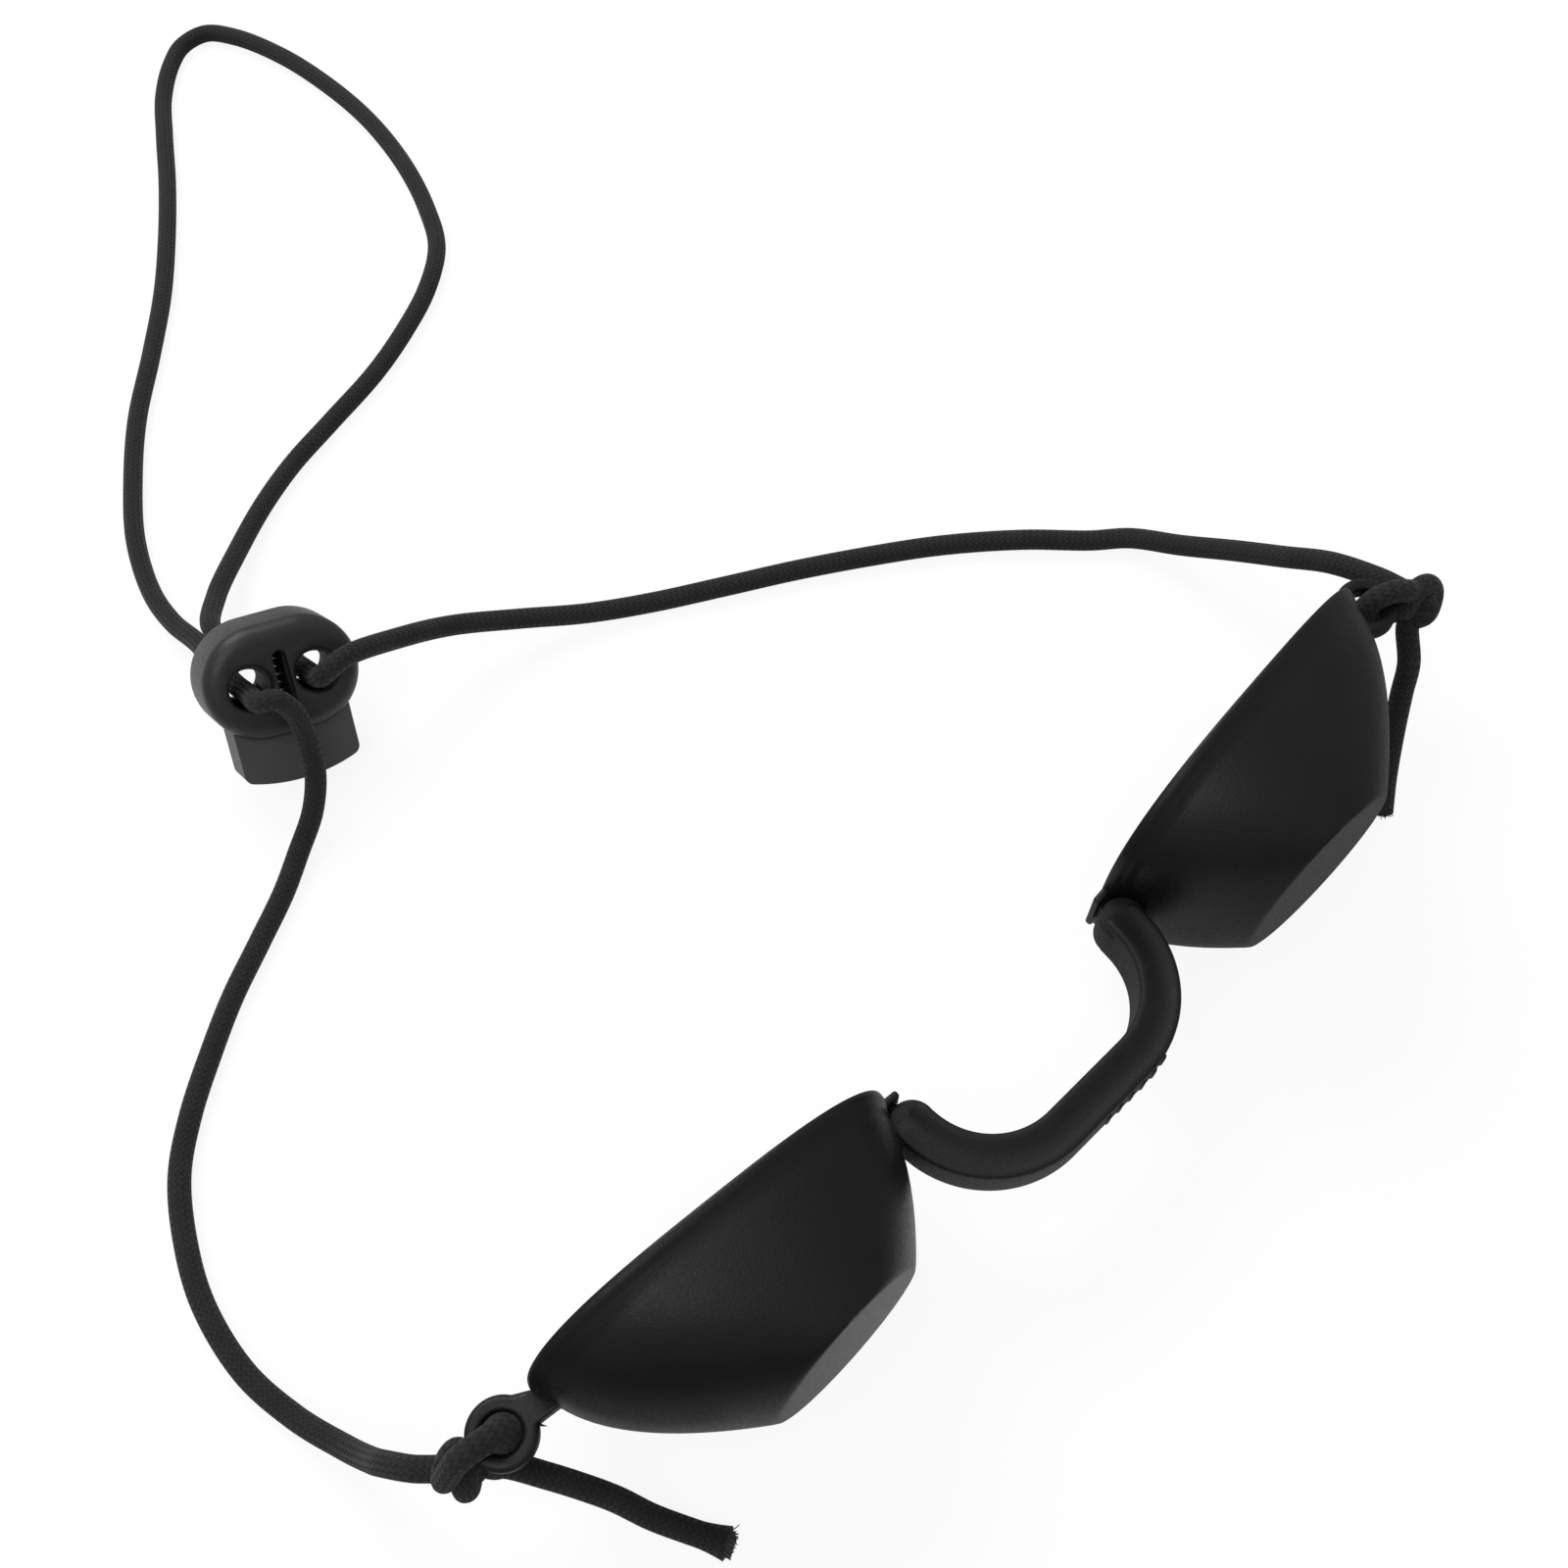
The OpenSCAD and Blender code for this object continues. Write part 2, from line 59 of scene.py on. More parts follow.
KNUCKLE_R, KNUCKLE_H = PIN_R + 1.3, GROOVE_H * BRIDGE_H
ARM_PAST = sqrt((KNUCKLE_R - 0.05) ** 2 - (BRIDGE_T / 2) ** 2)
MID_Y = BRIDGE_T / 2 - BRIDGE_REACH
BEND_R = min(10.3, 0.92 * (PIN_Y - MID_Y) / (1 - sin(LEAN)), PIN_X - 2)
ARM = (PIN_Y - MID_Y - BEND_R * (1 - sin(LEAN))) / cos(LEAN)
FLAT = PIN_X - ARM * sin(LEAN) - BEND_R * cos(LEAN)
CORD_D = 2.6
LOCK_W, LOCK_H, LOCK_T, PITCH_X, HOLE_D, REACH, PRESS = 19.0, 14.0, 9.5, 8.2, 5.4, 13.0, 2.5
PLUNGER_HALF, PLUNGER_T, SLIDE = LOCK_W / 2 - 2.3, LOCK_T - 4, 0.15
SAG = (HOLE_D - CORD_D) / 2 - SLIDE
ROOF = LOCK_H / 2 - 1.05
SHOULDER, SPRING_SEAT = 2.5, -4.5
SEAT = ROOF - PRESS - SLIDE
STAND = Matrix.Translation((0, 5.028, 18.016)) @ Matrix.Rotation(PITCH, 4, "X")
LOCK = (Matrix.Translation((-26.2, 98.6, 12.61))
        @ Euler((radians(54), radians(16), radians(-15))).to_matrix().to_4x4())

# Sizes that only the looks have
END_SOFT = 1.1                            # how far the bridge's ends are rounded
WEB_HALF = 0.42                           # half of the barrel web's thickness
RIB_COUNT, RIB_PITCH, RIB_MID, RIB_R = 6, 1.7, 3.6, 0.45
HOLE_LIP = 0.45                           # rounding of the lock's cord holes
SPRING_BORE_R, COIL_R, WIRE_R, COIL_TURNS = 1.35, 1.02, 0.175, 10
EYE_R, WRAP_R = 2.75, 1.7                 # the cord's eye through the tab, and the wraps of its knot
WRAP_FROM, WRAP_STEP = 40, 52             # degrees: the first point of the wraps, and one point to the next
WRAP_TOP, WRAP_PITCH = 1.15, 0.29         # the same two along the cord
SWELL_LEN, FLARE_LEN = 1.9, 3             # how far the cord is thicker at the tab's hole and before the cut
FRAY_R, FIBRE_R, FIBRE_LOW = 1.15, 0.1, 0.15
STRAY_REACH, STRAY_SPREAD = 1.5, 1.8      # the few longest fibres
PATH_STEP, KNOT_STEP = 0.5, 0.35          # spacing of the rings along a cord
SHARP = 35                                # edges sharper than this many degrees aren't smoothed


def on_goggles(side):
    """From a cup's own frame to the goggles' frame; side is 1 for the right cup and -1 for the left one."""
    m = Matrix.Translation((CUP_GAP / 2, 0, 0)) @ Matrix.Rotation(WRAP, 4, "Z")
    return Matrix.Scale(side, 4, (1, 0, 0)) @ m if side < 0 else m


def unit(v):
    return Vector(v).normalized()


# Mesh helpers
def make(name, verts, faces, mat, frame_m, body=None, sharp=SHARP, recalc=True, uvs=None):
    """A mesh in its own frame in mm, moved by frame_m and put in metres."""
    me = bpy.data.meshes.new(name)
    me.from_pydata([tuple(frame_m @ Vector(v) * MM) for v in verts], [], faces)
    if uvs:
        layer = me.uv_layers.new(name="UVMap")
        for i, uv in enumerate(uvs):
            layer.data[i].uv = uv
    if recalc:
        bm = bmesh.new()
        bm.from_mesh(me)
        bmesh.ops.recalc_face_normals(bm, faces=bm.faces)
        bm.to_mesh(me)
        bm.free()
    finish_mesh(me, sharp)
    o = bpy.data.objects.new(name, me)
    bpy.context.scene.collection.objects.link(o)
    me.materials.append(mat)
    if body:
        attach(o, body)
    return o


def finish_mesh(me, sharp):
    me.shade_smooth()
    if sharp:
        me.set_sharp_from_angle(angle=radians(sharp))


def skin(rings, loop=False):
    """Surface through rings of equal size: capped at both ends, or with the last ring joined to the first."""
    n = len(rings[0])
    verts = [v for r in rings for v in r]
    faces = []
    for i in range(len(rings) if loop else len(rings) - 1):
        a, b = i * n, ((i + 1) % len(rings)) * n
        faces += [(a + k, a + (k + 1) % n, b + (k + 1) % n, b + k) for k in range(n)]
    if not loop:
        faces += [tuple(range(n))[::-1], tuple(range((len(rings) - 1) * n, len(rings) * n))]
    return verts, faces


def add(parts):
    """Several (verts, faces) lists as one."""
    verts, faces = [], []
    for v, f in parts:
        k = len(verts)
        verts += list(v)
        faces += [tuple(i + k for i in q) for q in f]
    return verts, faces


def prism(outline, z0, z1):
    return skin([[(x, y, z0) for x, y in outline], [(x, y, z1) for x, y in outline]])


def arc(cx, cy, r, a0, a1, n):
    angles = [a0 + (a1 - a0) * i / n for i in range(n + 1)]
    return [(cx + r * cos(a), cy + r * sin(a)) for a in angles]


def circle(cx, cy, r, n):
    return arc(cx, cy, r, 0, 2 * pi, n)[:-1]


def smooth_path(points, step):
    """A smooth curve through the points (centripetal Catmull-Rom), resampled at even steps."""
    p = [Vector(q) for q in points]
    p = [2 * p[0] - p[1]] + p + [2 * p[-1] - p[-2]]
    fine = []
    for i in range(1, len(p) - 2):
        a, b, c, d = p[i - 1:i + 3]
        t1 = (b - a).length ** 0.5
        t2 = t1 + (c - b).length ** 0.5
        t3 = t2 + (d - c).length ** 0.5
        for k in range(16):
            t = t1 + (t2 - t1) * k / 16
            a1, a2, a3 = a.lerp(b, t / t1), b.lerp(c, (t - t1) / (t2 - t1)), c.lerp(d, (t - t2) / (t3 - t2))
            b1, b2 = a1.lerp(a2, t / t2), a2.lerp(a3, (t - t1) / (t3 - t1))
            fine.append(b1.lerp(b2, (t - t1) / (t2 - t1)))
    fine.append(p[-2])
    total = [0.0]
    for a, b in zip(fine, fine[1:]):
        total.append(total[-1] + (b - a).length)
    n = max(2, round(total[-1] / step))
    out, j = [], 0
    for i in range(n + 1):
        s = total[-1] * i / n
        while j < len(total) - 2 and total[j + 1] < s:
            j += 1
        out.append(fine[j].lerp(fine[j + 1], (s - total[j]) / max(total[j + 1] - total[j], 1e-9)))
    return out, total[-1]


def tube(path, radius, sides=24):
    """A round tube along a path, with u around it and v along it in turns of its own girth."""
    n = len(path)
    tan_ = [(path[min(i + 1, n - 1)] - path[max(i - 1, 0)]).normalized() for i in range(n)]
    side = tan_[0].cross(Vector((0, 0, 1)) if abs(tan_[0].z) < 0.9 else Vector((1, 0, 0))).normalized()
    verts, v, along = [], [], 0.0
    for i in range(n):
        side = (side - tan_[i] * side.dot(tan_[i])).normalized()
        up = tan_[i].cross(side)
        r = radius(i / (n - 1)) if callable(radius) else radius
        verts += [path[i] + r * (cos(2 * pi * k / sides) * side + sin(2 * pi * k / sides) * up)
                  for k in range(sides)]
        along += (path[i] - path[i - 1]).length / (pi * CORD_D) if i else 0
        v.append(along)
    faces, uvs = [], []
    for i in range(n - 1):
        for k in range(sides):
            a, b = i * sides + k, i * sides + (k + 1) % sides
            faces.append((a, b, b + sides, a + sides))
            u0, u1 = k / sides, (k + 1) / sides
            uvs += [(u0, v[i]), (u1, v[i]), (u1, v[i + 1]), (u0, v[i + 1])]
    for i in (0, n - 1):
        end = range(i * sides, (i + 1) * sides)
        faces.append(tuple(end[::-1] if i == 0 else end))
        uvs += [(0.5, v[i])] * sides
    return verts, faces, uvs


def boolean(o, cutter, how="DIFFERENCE"):
    """Cuts the cutter out of o, or joins it to o, and removes the cutter."""
    m = o.modifiers.new("b", "BOOLEAN")
    m.operation, m.solver, m.object = how, "EXACT", cutter
    apply(o)
    bpy.data.objects.remove(cutter)


def bevel(o, width, angle=40, segments=3):
    """Rounds the edges of o that are sharper than angle, by width in mm."""
    m = o.modifiers.new("v", "BEVEL")
    m.width, m.segments, m.limit_method, m.angle_limit = width * MM, segments, "ANGLE", radians(angle)
    m.miter_outer = "MITER_ARC"
    apply(o)
    finish_mesh(o.data, SHARP)


def apply(o):
    bpy.context.view_layer.update()
    me = bpy.data.meshes.new_from_object(o.evaluated_get(bpy.context.evaluated_depsgraph_get()))
    o.modifiers.clear()
    o.data = me


# Materials
def nodes_of(name, base, rough):
    m = bpy.data.materials.new(name)
    m.use_nodes = True
    t = m.node_tree
    b = t.nodes["Principled BSDF"]
    b.inputs["Base Color"].default_value = (*base, 1)
    b.inputs["Roughness"].default_value = rough
    return m, t, b


def node(t, kind, **values):
    """A shader node with its properties or inputs set."""
    n = t.nodes.new("ShaderNode" + kind)
    for k, v in values.items():
        if hasattr(n, k):
            setattr(n, k, v)
        else:
            n.inputs[k.replace("_", " ")].default_value = v
    return n


def ramp(t, fac, a, b, x0=0.0, x1=1.0):
    """Maps x0..x1 to a..b, clamped."""
    r = t.nodes.new("ShaderNodeMapRange")
    r.inputs[1].default_value, r.inputs[2].default_value = x0, x1
    r.inputs[3].default_value, r.inputs[4].default_value = a, b
    t.links.new(fac, r.inputs[0])
    return r.outputs[0]


def maths(t, op, *values, clamp=False):
    """A Math node; each value is a number or a socket."""
    n = t.nodes.new("ShaderNodeMath")
    n.operation, n.use_clamp = op, clamp
    for socket, x in zip(n.inputs, values):
        if isinstance(x, (int, float)):
            socket.default_value = x
        else:
            t.links.new(x, socket)
    return n.outputs[0]


def mix(t, fac, a, b):
    m = t.nodes.new("ShaderNodeMix")
    m.data_type = "RGBA"
    t.links.new(fac, m.inputs[0])
    m.inputs[6].default_value, m.inputs[7].default_value = (*a, 1), (*b, 1)
    return m.outputs[2]


def moulded(name, dark, light, rough, grain, edge_highlight, gloss):
    """Moulded plastic or rubber: fine grain, slight mottling of colour and gloss, and a painted highlight
    that makes sharp convex edges paler.
    """
    m, t, b = nodes_of(name, dark, rough)
    b.inputs["Specular IOR Level"].default_value = gloss
    co = t.nodes.new("ShaderNodeTexCoord").outputs["Object"]
    broad = node(t, "TexNoise", Scale=90.0, Detail=4.0)
    fine = node(t, "TexNoise", Scale=2600.0, Detail=3.0, Roughness=0.6)
    pit = node(t, "TexVoronoi", Scale=3800.0)
    for n in (broad, fine, pit):
        t.links.new(co, n.inputs["Vector"])
    # Painted highlight: sharp convex edges are mixed towards the lighter colour, as if they caught the light.
    convexity = t.nodes.new("ShaderNodeNewGeometry").outputs["Pointiness"]
    edge = ramp(t, convexity, 0.0, edge_highlight, 0.51, 0.56)
    mott = ramp(t, broad.outputs[0], 0.0, 0.45, 0.35, 0.75)
    t.links.new(mix(t, maths(t, "ADD", edge, mott, clamp=True), dark, light), b.inputs["Base Color"])
    t.links.new(ramp(t, fine.outputs[0], rough - 0.06, rough + 0.08, 0.3, 0.7), b.inputs["Roughness"])
    height = maths(t, "MULTIPLY_ADD", fine.outputs[0], 0.6, pit.outputs["Distance"])
    bump = node(t, "Bump", Strength=grain, Distance=0.00004)
    t.links.new(height, bump.inputs["Height"])
    t.links.new(bump.outputs[0], b.inputs["Normal"])
    return m


def braided(name):
    """Elastic cord: a round braid of two strands each way, with loose pale fibres, and painted shade in the
    grooves where the strands dip under one another.
    """
    m, t, b = nodes_of(name, (0.03, 0.03, 0.031), 0.75)
    uv = t.nodes.new("ShaderNodeSeparateXYZ")
    t.links.new(t.nodes.new("ShaderNodeUVMap").outputs[0], uv.inputs[0])

    def calc(op, *values):
        return maths(t, op, *values)

    u = calc("MULTIPLY", uv.outputs[0], 12.0)
    v = calc("MULTIPLY", uv.outputs[1], 10.0)
    p, q = calc("ADD", u, v), calc("SUBTRACT", u, v)
    hp = calc("ABSOLUTE", calc("SINE", calc("MULTIPLY", p, pi)))
    hq = calc("ABSOLUTE", calc("SINE", calc("MULTIPLY", q, pi)))
    cells = calc("ADD", calc("FLOOR", calc("ADD", p, 4096)), calc("FLOOR", calc("ADD", q, 4096)))
    over = calc("MODULO", cells, 2.0)
    yarn = calc("ADD", calc("MULTIPLY", hp, over), calc("MULTIPLY", hq, calc("SUBTRACT", 1.0, over)))
    co = t.nodes.new("ShaderNodeTexCoord").outputs["Object"]
    fuzz = node(t, "TexNoise", Scale=5200.0, Detail=5.0, Roughness=0.7)
    broad = node(t, "TexNoise", Scale=260.0, Detail=2.0)
    t.links.new(co, fuzz.inputs["Vector"])
    t.links.new(co, broad.inputs["Vector"])
    # Painted shade: the colour darkens where the strands dip under one another; the fine and broad noise add
    # random tone.
    tone = calc("MULTIPLY", calc("POWER", yarn, 0.8), ramp(t, fuzz.outputs[0], 0.15, 1.25, 0.3, 0.75))
    tone = calc("MULTIPLY", tone, ramp(t, broad.outputs[0], 0.7, 1.15, 0.3, 0.7))
    t.links.new(mix(t, tone, (0.0045, 0.0045, 0.0048), (0.021, 0.021, 0.022)), b.inputs["Base Color"])
    height = calc("ADD", yarn, calc("MULTIPLY", fuzz.outputs[0], 0.5))
    bump = node(t, "Bump", Strength=0.75, Distance=0.00012)
    t.links.new(height, bump.inputs["Height"])
    t.links.new(bump.outputs[0], b.inputs["Normal"])
    b.inputs["Specular IOR Level"].default_value = 0.2
    b.inputs["Sheen Weight"].default_value = 0.07
    b.inputs["Sheen Roughness"].default_value = 0.5
    return m


CUP = moulded("cup_plastic", (0.0042, 0.0042, 0.0044), (0.009, 0.009, 0.0093), 0.40, 0.35, 0.5, 0.22)
RUBBER = moulded("bridge_rubber", (0.0055, 0.0054, 0.0053), (0.011, 0.0108, 0.0106), 0.62, 0.45, 0.4, 0.26)
SHELL = moulded("lock_plastic", (0.014, 0.014, 0.0145), (0.024, 0.024, 0.025), 0.42, 0.3, 0.5, 0.34)
BUTTON = moulded("plunger_plastic", (0.040, 0.040, 0.041), (0.058, 0.058, 0.060), 0.5, 0.35, 0.5, 0.36)
CORD = braided("cord_fabric")
# Painted light: the fibres get a material paler than the cord's, to brighten the frayed ends that shade
# darkens.
FIBRE_PAINTED_PALER, _, fibre = nodes_of("cord_fibre_painted_paler", (0.03, 0.03, 0.031), 0.8)
fibre.inputs["Sheen Weight"].default_value = 0.2
STEEL, st, sb = nodes_of("spring_steel", (0.55, 0.55, 0.56), 0.28)
sb.inputs["Metallic"].default_value = 1.0
draw = node(st, "TexNoise", Scale=900.0, Detail=2.0)
st.links.new(st.nodes.new("ShaderNodeTexCoord").outputs["Object"], draw.inputs["Vector"])
st.links.new(ramp(st, draw.outputs[0], 0.2, 0.42, 0.3, 0.7), sb.inputs["Roughness"])

# Camera, as fitted to the photograph: focal length and frame in pixels, sensor and place in mm
FOCAL, FRAME, SENSOR = 2026.2, 1600, 36
cam =bpy.data.objects.new("camera", bpy.data.cameras.new("camera"))
bpy.context.scene.collection.objects.link(cam)
right, ahead = Vector((0.718, -0.689, -0.095)).normalized(), Vector((0.293, 0.423, -0.857)).normalized()
up = right.cross(ahead).normalized()
ahead = up.cross(right).normalized()
cam.matrix_world = Matrix.Translation(Vector((-60.866, -53.525, 205.857)) * MM) @ Matrix(
    (right, up, -ahead)).transposed().to_4x4()
cam.data.sensor_width, cam.data.lens = SENSOR, SENSOR * FOCAL / FRAME
cam.data.clip_start, cam.data.clip_end = 0.005, 20
bpy.context.scene.camera = cam

# Cord: the same routes as the part's source (mm)
HOLE = Vector((RIM_W + TAB_REACH, -1.6, 0))
KNOT_HALF = 3.2
LEFT_HOLE, RIGHT_HOLE = STAND @ on_goggles(-1) @ HOLE, STAND @ on_goggles(1) @ HOLE
LEFT_KNOT, RIGHT_KNOT = LEFT_HOLE + Vector((-4.9, 1.2, -3)), RIGHT_HOLE + Vector((5.6, -3.2, -0.6))
LEFT_DIR, RIGHT_DIR = unit((-0.68, 0.73, -0.1)), unit((-0.05, 0.98, -0.15))
LEFT_TAIL, RIGHT_TAIL = unit((0.75, -0.45, -0.48)), unit((-0.36, -0.1, -0.93))
left_route = [
    [-73.8, 15.4, 12.6], [-74.9, 18.4, 8], [-76.4, 23, 3.8], [-78.4, 29.8, 1.5], [-79.5, 37.4, 1.3],
    [-78.5, 46.4, 1.3], [-76, 53.4, 1.3], [-72, 60.4, 1.3], [-67, 65.4, 1.3], [-61, 69.9, 1.3],
    [-55, 73.9, 1.3], [-48.5, 77.4, 1.3], [-42.5, 80.6, 1.4], [-38, 83.2, 2.2], [-33.6, 85.2, 4.2],
    [-30.5, 87.2, 7.4], [-28.9, 89.3, 11], [-28.4, 90.6, 14.4], [-29.3, 91.7, 17.2]]
right_route = [
    [-22.3, 91.4, 15.9], [-19.6, 91.2, 16.2], [-12.8, 91.3, 12.6], [-5.8, 91, 8.2], [1.5, 88, 4.8],
    [9, 83.7, 2.3], [16, 79.4, 1.4], [24, 74.4, 1.3], [32, 69.4, 1.3], [40, 63.9, 1.3],
    [47.5, 58.2, 1.3], [55, 51.2, 1.3], [60.6, 44.8, 1.3], [63.8, 41, 2], [65.7, 34.5, 4.4],
    [66.9, 27.4, 8.4], [67.4, 21, 12.4], [68.4, 15.2, 15.4]]
loop_route = [
    [-29.5, 110.4, 6.4], [-28.9, 116.8, 4], [-29, 123.4, 2.2], [-28, 130.4, 1.3], [-24.5, 139.4, 1.3],
    [-18.5, 148.9, 1.3], [-12, 157.4, 1.3], [-4, 165.7, 1.3], [4, 174.4, 1.3], [11, 183.4, 1.3],
    [18, 193.4, 1.3], [24, 202.9, 1.3], [29, 210.4, 1.3], [34.2, 215.8, 1.3], [38.2, 218.2, 1.3],
    [42.3, 217.7, 1.3], [45, 213.2, 1.3], [47.3, 203.4, 1.3], [48, 191.4, 1.3], [47.3, 179.9, 1.3],
    [44.8, 167.9, 1.3], [41.2, 157.9, 1.3], [37.3, 150.7, 1.3], [31, 145.2, 1.3], [24, 141.4, 1.3],
    [16, 138.2, 1.3], [6, 135.7, 1.3], [-2, 133.7, 1.3], [-9, 130.8, 1.5], [-16, 126.4, 2.4],
    [-23, 120.4, 4.6], [-26.8, 114.6, 6.8], [-25.6, 109.4, 7.2]]
left_tail_route = [
    [-63.3, 3.9, 10.8], [-61.5, 1.3, 8.4], [-59.9, -1.2, 5.6], [-58.5, -4.2, 3], [-56.8, -7.3, 1.6],
    [-54.8, -11, 1.3]]
right_tail_route = [
    [65.4, 1.4, 12], [64, 0.5, 8], [61.4, -1.1, 4.2], [57.7, -3.4, 1.6], [53.8, -5.9, 1.3]]


def in_lock(side, z):
    return LOCK @ Vector((side * PITCH_X / 2, -SAG, z))


left_path = [LEFT_KNOT + s * LEFT_DIR for s in (KNOT_HALF, KNOT_HALF + 1.6)] + left_route + [
    in_lock(-1, LOCK_T / 2 + 2.2), in_lock(-1, LOCK_T / 2 - 1.5), in_lock(-1, 0)]
right_path = [in_lock(1, 0), in_lock(1, LOCK_T / 2 - 1.5)] + right_route + [
    RIGHT_KNOT + s * RIGHT_DIR for s in (KNOT_HALF + 1.6, KNOT_HALF)]
loop_path = [in_lock(-1, 0), in_lock(-1, -LOCK_T / 2)] + loop_route + [
    in_lock(1, -LOCK_T / 2 - 2.5), in_lock(1, -LOCK_T / 2), in_lock(1, 0)]


def cord_piece(name, points, nodes, body=None, blend=None):
    """A long stretch of cord, with its line and its length."""
    path, length = smooth_path(points, PATH_STEP)
    v, f, uv = tube(path, CORD_D / 2)
    o = make(name, v, f, CORD, Matrix.Identity(4), None, sharp=60, recalc=False, uvs=uv)
    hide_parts(*nodes)
    if blend:
        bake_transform(o)
    else:
        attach(o, body)
    return o, [tuple(p * MM) for p in path[::4] + path[-1:]], length * MM


mm = lambda p: tuple(Vector(p) * MM)
left_cord, left_line, left_len = cord_piece(
    "left_cord_braid", left_path, ["left_cord"],
    blend=("left_eye", "bridge_body", mm(left_path[0]), mm((-79, 44, 1.3))))
right_cord, right_line, right_len = cord_piece(
    "right_cord_braid", right_path, ["right_cord"],
    blend=("right_eye", "bridge_body", mm(right_path[-1]), mm((66, 40, 1.3))))
loop_cord, loop_line, loop_len = cord_piece("cord_loop_braid", loop_path, ["cord_loop"], body="bridge_body")


def knot_path(hole, mid, away, tail, tail_route):
    """One run of cord: under the wraps, through the tab's eye, back, round and out as the tail."""
    out = (mid - hole).normalized()
    bore = (STAND.to_3x3() @ Vector((0, 0, 1))).normalized()
    level = (out - bore * out.dot(bore)).normalized()
    eye = hole + EYE_R * level
    e1 = (level - away * level.dot(away)).normalized()
    e2 = away.cross(e1)
    pts = [mid + away * KNOT_HALF, mid + away * 1.6 - e1 * 0.1]
    pts += [mid - away * 0.3 - e1 * 0.3, mid - away * 1.5]
    for a in (-50, -90, -130, 180, 130, 90, 52):
        pts.append(eye + EYE_R * (cos(radians(a)) * level + sin(radians(a)) * bore))
    for i in range(9):
        a = radians(WRAP_FROM + WRAP_STEP * i)
        pts.append(mid + away * (WRAP_TOP - WRAP_PITCH * i) + WRAP_R * (cos(a) * e1 + sin(a) * e2))
    pts += [mid + tail * KNOT_HALF, mid + tail * (KNOT_HALF + 1)] + [Vector(p) for p in tail_route]
    return smooth_path(pts, KNOT_STEP)


def cord_width(to_end, from_hole, swell, flare):
    """Radius of a tied end: it fills out in the tab's hole and flares just before the cut."""
    if to_end < FLARE_LEN:
        return CORD_D / 2 + flare * (1 - to_end / FLARE_LEN) ** 1.5
    return CORD_D / 2 + swell * math.exp(-(from_hole / SWELL_LEN) ** 2)


def fibres(end, ahead, side, rnd, count, reach, spread):
    """Loose fibres of a cut cord end, each a fine bent hair."""
    up, out = Vector((0, 0, 1)), []
    for i in range(count):
        a = rnd.uniform(0, 2 * pi)
        r = FRAY_R * sqrt(rnd.random())
        start = end - 0.4 * ahead + r * (cos(a) * side + sin(a) * up)
        way = (ahead + spread * rnd.gauss(0, 0.5) * side + spread * rnd.gauss(0, 0.16) * up).normalized()
        length = reach * rnd.uniform(0.45, 1.0)
        curl = side * rnd.gauss(0, 0.25) + rnd.gauss(-0.05, 0.12) * up
        pts = []
        for k in range(6):
            s = k / 5
            p = start + way * length * s + curl * length * s * s
            p.z = max(p.z, FIBRE_LOW)
            pts.append(p)
        out.append(tube(pts, lambda s: FIBRE_R * (1 - 0.6 * s), 5)[:2])
    return out


def tied_end(name, body, nodes, route, swell, flare, seed, count, strays, reach, spread):
    """The eye, knot and tail at a tab, and the fibres of its cut end."""
    hole = route[0]
    path, length = knot_path(*route)
    at_hole = min(range(len(path)), key=lambda i: (path[i] - hole).length) / (len(path) - 1)
    v, f, uv = tube(path, lambda s: cord_width((1 - s) * length, (s - at_hole) * length, swell, flare))
    o = make(name, v, f, CORD, Matrix.Identity(4), body, sharp=60, recalc=False, uvs=uv)
    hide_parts(*nodes)
    rnd = random.Random(seed)
    end, ahead = path[-1], (path[-1] - path[-6]).normalized()
    side = ahead.cross(Vector((0, 0, 1))).normalized()
    v, f = add(fibres(end, ahead, side, rnd, count, reach, spread)
               + fibres(end, ahead, side, rnd, strays, STRAY_REACH * reach, STRAY_SPREAD))
    hair = make(name + "_fray", v, f, FIBRE_PAINTED_PALER, Matrix.Identity(4), body, sharp=0, recalc=False)
    return o, hair


left_knot, left_fray = tied_end(
    "left_knot_braid", "left_eye", ["left_knot", "left_tail"],
    (LEFT_HOLE, LEFT_KNOT, LEFT_DIR, LEFT_TAIL, left_tail_route),
    swell=0.75, flare=0.42, seed=3, count=380, strays=9, reach=1.15, spread=0.55)
right_knot, right_fray = tied_end(
    "right_knot_braid", "right_eye", ["right_knot", "right_tail"],
    (RIGHT_HOLE, RIGHT_KNOT, RIGHT_DIR, RIGHT_TAIL, right_tail_route),
    swell=0.0, flare=0.0, seed=5, count=110, strays=3, reach=0.8, spread=0.4)


# Cups
def spow(v, e):
    """A power that keeps the sign of v."""
    return math.copysign(abs(v) ** e, v)


def rim_at(t, grow):
    """Point of the opening's edge at angle t, grown outwards by grow, in the cup's own frame."""
    return Vector((RIM_W / 2 + (RIM_W / 2 + grow) * spow(cos(t), 2 / CORNER), 0,
                   (RIM_H / 2 + grow) * spow(sin(t), 2 / CORNER)))


def front_at(t, grow, depth):
    """Point of the flat front's edge."""
    x = (FRONT_W / 2 + grow) * cos(t)
    return Vector((RIM_W / 2 - FRONT_IN + x, -depth - x * tan(TURN), (FRONT_H / 2 + grow) * sin(t)))


def wall_at(t, s, grow, depth):
    """Point of the curved wall, from the opening at s = 0 to the front at s = 1."""
    a, b = rim_at(t, grow), front_at(t, grow, depth)
    k = s ** BULGE
    return Vector((a.x + (b.x - a.x) * k, b.y * s, a.z + (b.z - a.z) * k))


def even_angles(n):
    """Angles that space the opening's edge evenly."""
    fine = [rim_at(2 * pi * i / 4000, 0) for i in range(4001)]
    total = [0.0]
    for a, b in zip(fine, fine[1:]):
        total.append(total[-1] + (b - a).length)
    out, j = [], 0
    for i in range(n):
        while total[j + 1] < total[-1] * i / n:
            j += 1
        out.append(2 * pi * j / 4000)
    return out


ANGLES = even_angles(176)


